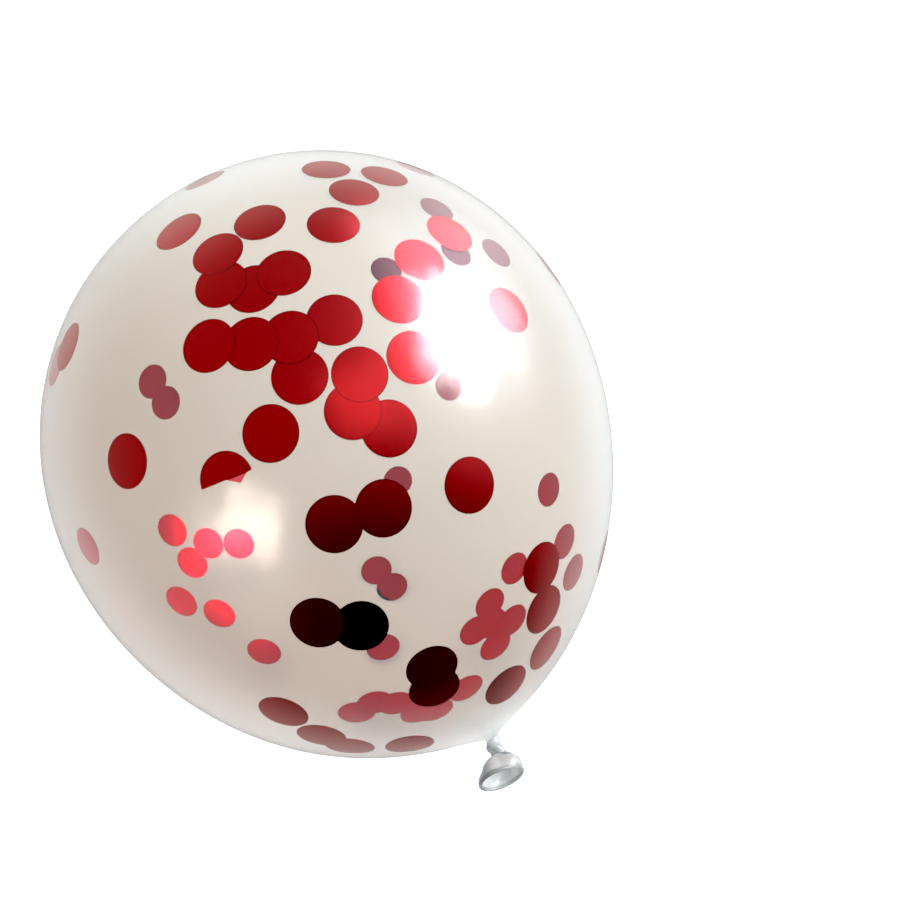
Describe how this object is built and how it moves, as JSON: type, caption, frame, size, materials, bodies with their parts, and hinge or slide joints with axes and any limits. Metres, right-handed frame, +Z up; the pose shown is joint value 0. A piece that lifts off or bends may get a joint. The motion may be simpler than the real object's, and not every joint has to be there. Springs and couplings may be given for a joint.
{
  "type": "confetti balloon",
  "caption": "Round clear latex party balloon with red foil confetti discs inside, tied at the neck, with an open flared tail, lying on its side.",
  "frame": {"origin": "middle of the small flat spot that the balloon lies on", "axes": "+Z up, out of the flat spot; -Y the way the neck points, seen from above; the longest extent is along Y"},
  "size_m": [0.2816, 0.3256, 0.2827],
  "materials": {
    "clear_latex": "glossy, see-through, faintly milky, natural latex",
    "red_foil": "metallised red foil, glossy"
  },
  "bodies": {
    "root": {"balloon": "clear_latex"}
  },
  "joints": []
}
